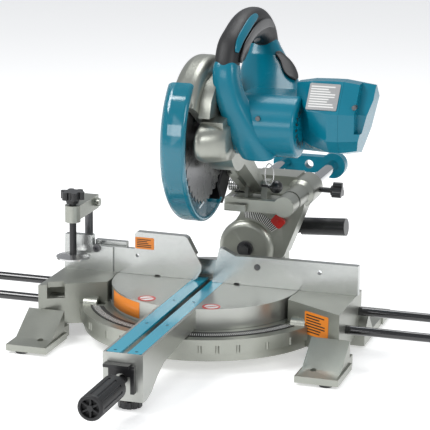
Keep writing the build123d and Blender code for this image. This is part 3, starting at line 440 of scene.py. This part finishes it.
def tubeMesh(name, grids):
    # each grid is rows of a closed section; both ends are closed with a fan about their middle
    verts, faces, count = [], [], 0
    for grid in grids:
        rows, columns = grid.shape[:2]
        middle = count + rows * columns
        first, last = np.arange(columns) + count, np.arange(columns) + middle - columns
        faces += gridFaces(rows, columns, True, count)
        faces += np.stack([np.full(columns, middle), np.roll(first, -1), first], -1).tolist()
        faces += np.stack([np.full(columns, middle + 1), last, np.roll(last, -1)], -1).tolist()
        verts += [grid.reshape(-1, 3), grid[0].mean(0)[None], grid[-1].mean(0)[None]]
        count = middle + 2
    piece = smoothMesh(name, np.vstack(verts), faces)
    faceOutwards(piece)
    return piece


def faceOutwards(piece):
    solid = bmesh.new()
    solid.from_mesh(piece.data)
    bmesh.ops.recalc_face_normals(solid, faces=solid.faces)
    solid.to_mesh(piece.data)
    solid.free()


def smoothStations(stations, steps=10):
    # cubic curve through the stations, with the tangent at each set by its two neighbours
    table = np.array(stations, float)
    ends = np.vstack([2 * table[0] - table[1], table, 2 * table[-1] - table[-2]])
    t = np.linspace(0, 1, steps, endpoint=False)[:, None]
    spans = []
    for a, b, c, d in zip(ends, ends[1:], ends[2:], ends[3:]):
        bend, twist = 2 * a - 5 * b + 4 * c - d, 3 * b - a - 3 * c + d
        spans.append(0.5 * (2 * b + (c - a) * t + bend * t ** 2 + twist * t ** 3))
    return np.vstack([*spans, table[-1:]])


def bentPoints(stations, angles, squareness, lift=0.0):
    # superellipse sections across a bend in the YZ plane: the half width runs along X and the half depth
    # across the bend, and both follow cos and sin raised to the squareness power
    table = smoothStations(stations) / 1000
    centre = table[:, :3]
    tangent = np.gradient(centre, axis=0)
    tangent[:, 0] = 0
    tangent /= np.linalg.norm(tangent, axis=1)[:, None]
    outward = np.stack([np.zeros(len(table)), -tangent[:, 2], tangent[:, 1]], -1)
    angles = np.broadcast_to(angles, (len(table), np.shape(angles)[-1]))
    across = np.sign(np.cos(angles)) * np.abs(np.cos(angles)) ** squareness * (table[:, 3:4] + lift)
    deep = np.sign(np.sin(angles)) * np.abs(np.sin(angles)) ** squareness * (table[:, 4:5] + lift)
    return centre[:, None] + across[..., None] * np.array([1.0, 0, 0]) + deep[..., None] * outward[:, None]


def flatPlate(name, centre, across, up, size, corner, depth):
    # a rounded rectangle standing on a face, with its depth going into the face; all in millimetres
    across, up = Vector(across).normalized(), Vector(up).normalized()
    normal = across.cross(up)
    turns = np.linspace(0, math.tau, 32, endpoint=False) + math.tau / 64
    flat = np.stack([np.sign(np.cos(turns)) * (size[0] / 2 - corner) + corner * np.cos(turns),
                     np.sign(np.sin(turns)) * (size[1] / 2 - corner) + corner * np.sin(turns)], -1) / 1000
    top = np.array(centre) / 1000 + flat[:, :1] * np.array(across) + flat[:, 1:] * np.array(up)
    sunk = top - np.array(normal) * depth / 1000
    return tubeMesh(name, [np.stack([sunk, top])])


def thicken(piece, thickness):
    # a wall of this thickness behind the surface
    wall = piece.modifiers.new("thickness", "SOLIDIFY")
    wall.thickness = thickness
    wall.offset = -1


def flatShade(piece):
    piece.data.polygons.foreach_set("use_smooth", np.zeros(len(piece.data.polygons), bool))


def place(piece, body, slot, look, replaced=()):
    piece.data.materials.clear()
    piece.data.materials.append(materials[look])
    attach(piece, body)
    if replaced:
        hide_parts(*replaced)


fullTurn = np.linspace(0, math.tau, 56, endpoint=False)

# handle: stations of x, y, z, half width across and half depth, in millimetres
handleShape = {
    "frontStrut": [(82, -24, 272, 25, 24), (70, -33, 294, 24, 24), (56, -40, 324, 21.5, 22),
                   (45, -44, 350, 19, 19.5), (40, -44, 372, 17.8, 18.8), (39, -41, 387, 16.8, 18.2),
                   (39, -39.5, 394, 14, 15.5), (39, -39, 397, 8, 9)],
    "grip": [(39, -42, 382, 15.5, 16.6), (39, -40, 392, 16.3, 17.6), (39, -27, 409, 17.3, 19.4),
             (40, -6, 419, 17.5, 21), (40, 26, 428, 17.5, 22.5), (40, 62, 431, 17.5, 22.5),
             (40, 96, 427, 17.5, 21.5), (41, 124, 412, 17.5, 20), (42, 133, 394, 18, 19.5),
             (43, 131, 386, 17, 18)],
    "rearStrut": [(42, 136, 398, 18, 16.5), (43, 133, 390, 22, 20), (48, 124, 368, 33, 22.5),
                  (57, 104, 350, 42, 24.5), (66, 80, 334, 44, 26.5), (76, 50, 318, 44, 26.5)],
    "strutSquareness": 0.66,
    "gripSquareness": 0.86,
}
struts = [bentPoints(handleShape[name], fullTurn, handleShape["strutSquareness"])
          for name in ("frontStrut", "rearStrut")]
place(tubeMesh("handleShell", struts), "head", "teal_plastic", "tealPlastic", ["handle_frame"])

sleeve = bentPoints(handleShape["grip"], fullTurn, handleShape["gripSquareness"])
place(tubeMesh("gripSleeve", [sleeve]), "head", "rubber", "blackRubber", ["rubber_grip"])

patchThickness = 0.003
patches = {
    # name: tube, squareness, middle and half angle in degrees, span of the tube's length, lift, slot, look
    # and the piece it replaces
    "gripInlay": ("grip", "gripSquareness", 40, 15, (0.16, 0.5), 0.0005, "teal_plastic", "tealPlastic", ()),
    "gripStrip": ("grip", "gripSquareness", 2, 13, (0.12, 0.72), 0.0009, "rubber", "blackPlastic", ()),
    "rearPad": ("rearStrut", "strutSquareness", -48, 22, (0.3, 0.78), 0.0012, "rubber", "blackRubber",
                ("side_pad",)),
}


def surfacePatch(name, tube, squareness, middle, half, span, lift, slot, look, replaced):
    # a leaf-shaped patch on a bent tube: its half angle is half * sqrt(1 - u^4), with u from -1 to 1
    rows = len(smoothStations(handleShape[tube]))
    share = np.linspace(0, 1, rows)
    reach = np.clip((share - span[0]) / (span[1] - span[0]), 0, 1)
    bump = np.sqrt(np.clip(1 - (2 * reach - 1) ** 4, 0, 1))
    angles = np.radians(middle) + np.radians(half) * bump[:, None] * np.linspace(-1, 1, 17)[None]
    points = bentPoints(handleShape[tube], angles, handleShape[squareness], lift)
    points = points[(share >= span[0]) & (share <= span[1])]
    piece = smoothMesh(name, points, gridFaces(*points.shape[:2], False, 0))
    thicken(piece, patchThickness)
    place(piece, "head", slot, look, replaced)


for name, values in patches.items():
    surfacePatch(name, *values)
print("handle is made")

# labels: plain plates, and rows of plain bars that stand for small print
labelSizes = {
    # name: centre, across, up and size in millimetres, body, look
    "fenceLabel": ((-92, -0.25, 121.3), (1, 0, 0), (0, 0, 1), (28, 17), "sub_fence", "orangePaint"),
    "wingLabel": ((178.4, -74.4, 50), (0.864, -0.504, 0), (0, 0, 1), (44, 32), "base", "orangePaint"),
    "ratingLabel": ((167, -20.3, 351.3), (1, 0, 0), (0, 0.622, 0.783), (42, 40), "head", "silverFoil"),
    "leverLabel": ((-15.5, -345.25, 31), (1, 0, 0), (0, 0, 1), (5, 12), "lock_lever", "yellowPaint"),
}
labelCorner, labelDepth = 1.6, 0.9
for name, (centre, across, up, size, body, look) in labelSizes.items():
    label = flatPlate(name, centre, across, up, size, labelCorner, labelDepth)
    flatShade(label)
    place(label, body, "scale_plastic", look)

printRows = {
    # name: centre, across, up and size in millimetres, rows, body, look
    "fencePrint": ((-92, -0.35, 121.3), (1, 0, 0), (0, 0, 1), (23, 13), 5, "sub_fence", "inkAndShadeBlack"),
    "wingPrint": ((178.35, -74.5, 50), (0.864, -0.504, 0), (0, 0, 1), (38, 27), 7, "base", "inkAndShadeBlack"),
    "ratingPrint": ((167, -20.45, 351.4), (1, 0, 0), (0, 0.622, 0.783), (37, 34), 9, "head", "whitePaint"),
}


def fourCornered(name, corners, thickness, body, slot, look):
    # separate flat faces of four corners each, in millimetres, with a thin wall behind them
    points = corners.reshape(-1, 3) / 1000
    piece = smoothMesh(name, points, np.arange(len(points)).reshape(-1, 4).tolist(), smooth=False)
    thicken(piece, thickness)
    place(piece, body, slot, look)


for name, (centre, across, up, size, rows, body, look) in printRows.items():
    # bar k is 0.55 + 0.4 |sin(2.4 k + 1)| of the block's width, from its left edge, and 0.44 of its row high
    across, up = np.array(Vector(across).normalized()), np.array(Vector(up).normalized())
    row = np.arange(rows)
    left = np.full(rows, -size[0] / 2)
    right = left + size[0] * (0.55 + 0.4 * np.abs(np.sin(row * 2.4 + 1)))
    middle = size[1] * (0.5 - (row + 0.5) / rows)
    band = size[1] / rows * 0.22
    aside = np.stack([left, right, right, left], -1)[..., None]
    rise = np.stack([middle - band, middle - band, middle + band, middle + band], -1)[..., None]
    fourCornered(name, np.array(centre) + aside * across + rise * up, 0.0002, body, "scale_plastic", look)

# warning label wrapped round the rim of the turntable: a patch of a cylinder
rimLabel = {"radius": 132.8, "middle": 228.6, "half": 16, "low": 49, "high": 71.5}
turns = np.radians(rimLabel["middle"] + rimLabel["half"] * np.linspace(-1, 1, 33))
heights = np.array([rimLabel["low"], rimLabel["high"]])
rimX, rimY = rimLabel["radius"] * np.cos(turns)[None], rimLabel["radius"] * np.sin(turns)[None]
patch = np.stack(np.broadcast_arrays(rimX, rimY, heights[:, None]), -1) / 1000
rimPiece = smoothMesh("rimLabel", patch, gridFaces(2, len(turns), False, 0))
thicken(rimPiece, 0.0006)
place(rimPiece, "table", "scale_plastic", "orangePaint")


def weldSeam(piece):
    # the first and last rows of a closed grid meet
    seam = piece.modifiers.new("weld", "WELD")
    seam.merge_threshold = 0.000001
    faceOutwards(piece)


def disc(name, centre, radii, height, look):
    # a thin round sign lying on the table, or a ring when its inner radius isn't 0
    x, y, z = centre
    inner, outer = radii
    reach = np.array([inner, inner, outer, outer])[:, None]
    levels = np.array([z, z + height, z + height, z])[:, None]
    pointX, pointY = x + reach * np.cos(fullTurn), y + reach * np.sin(fullTurn)
    points = np.stack(np.broadcast_arrays(pointX, pointY, levels), -1) / 1000
    if inner:
        points = np.concatenate([points, points[:1]])
        piece = smoothMesh(name, points, gridFaces(5, len(fullTurn), True, 0), smooth=False)
        weldSeam(piece)
    else:
        piece = tubeMesh(name, [points[2:]])
        flatShade(piece)
    place(piece, "table", "scale_plastic", look)


handSigns = {"Left": (-51.6, -104.9), "Right": (43, -113)}
tableTop = 74.0
for side, (x, y) in handSigns.items():
    disc(f"handSign{side}", (x, y, tableTop), (0, 9.8), 0.25, "whitePaint")
    disc(f"handSignRing{side}", (x, y, tableTop), (9.4, 12.4), 0.4, "redPlastic")
    barCentre = (x, y, tableTop + 0.42)
    bar = flatPlate(f"handSignBar{side}", barCentre, (0.8, 0.6, 0), (-0.6, 0.8, 0), (20, 2.6), 0.6, 0.3)
    flatShade(bar)
    place(bar, "table", "scale_plastic", "redPlastic")

# cooling slots in the end of the motor barrel: radial black plates evenly round a ring, painted shade where
# the slots open into the dark inside
ventShape = {"centre": (135.15, -11, 306), "count": 20, "inner": 19, "outer": 29, "width": 3.0}
ventTurns = math.tau * np.arange(ventShape["count"]) / ventShape["count"]
outward = np.stack([0 * ventTurns, np.cos(ventTurns), np.sin(ventTurns)], -1)[:, None]
sideways = np.stack([0 * ventTurns, -np.sin(ventTurns), np.cos(ventTurns)], -1)[:, None]
reach = np.array([ventShape["inner"], ventShape["outer"], ventShape["outer"], ventShape["inner"]])[:, None]
spread = ventShape["width"] / 2 * np.array([-1, -1, 1, 1])[:, None]
ventCorners = np.array(ventShape["centre"]) + reach * outward + spread * sideways
fourCornered("ventSlotShade", ventCorners, 0.0003, "head", "black_plastic", "inkAndShadeBlack")
print("labels and vents are made")

# rounded nose of the gear housing in front of the spindle: stations of x, y, z, half depth and half height
gearNose = [(14.6, -66, 291, 41, 22), (17, -66, 291, 45, 26), (24, -65, 290, 45, 27), (34, -62, 289, 40, 26),
            (44, -57, 288, 34, 25), (50.2, -52, 287, 28, 23)]
noseSquareness = 0.8
noseTable = smoothStations(gearNose, 6) / 1000
depth = np.sign(np.cos(fullTurn)) * np.abs(np.cos(fullTurn)) ** noseSquareness * noseTable[:, 3:4]
rise = np.sign(np.sin(fullTurn)) * np.abs(np.sin(fullTurn)) ** noseSquareness * noseTable[:, 4:5]
noseX = np.broadcast_to(noseTable[:, :1], depth.shape)
nosePoints = np.stack([noseX, noseTable[:, 1:2] + depth, noseTable[:, 2:3] + rise], -1)
place(tubeMesh("gearNose", [nosePoints]), "head", "cast_aluminium", "castMetal")

# wire loop beside the stopper pin: a round wire along an upright ellipse
wireLoop = {"centre": (53, 126, 205), "across": 6.5, "high": 16, "wire": 0.9}
loopTurn = np.linspace(0, math.tau, 48, endpoint=False)[:, None]
ringTurn = np.linspace(0, math.tau, 10, endpoint=False)[None]
x, y, z = wireLoop["centre"]
thick = wireLoop["wire"] * np.cos(ringTurn)
loopX = x + (wireLoop["across"] + thick) * np.cos(loopTurn)
loopY = np.broadcast_to(y + wireLoop["wire"] * np.sin(ringTurn), loopX.shape)
loopZ = z + (wireLoop["high"] + thick) * np.sin(loopTurn)
loopPoints = np.stack([loopX, loopY, loopZ], -1) / 1000
wirePiece = smoothMesh("wireLoop", np.concatenate([loopPoints, loopPoints[:1]]), gridFaces(49, 10, True, 0))
weldSeam(wirePiece)
place(wirePiece, "upper_slide", "steel", "brightSteel")
print("gear housing nose and wire loop are made")
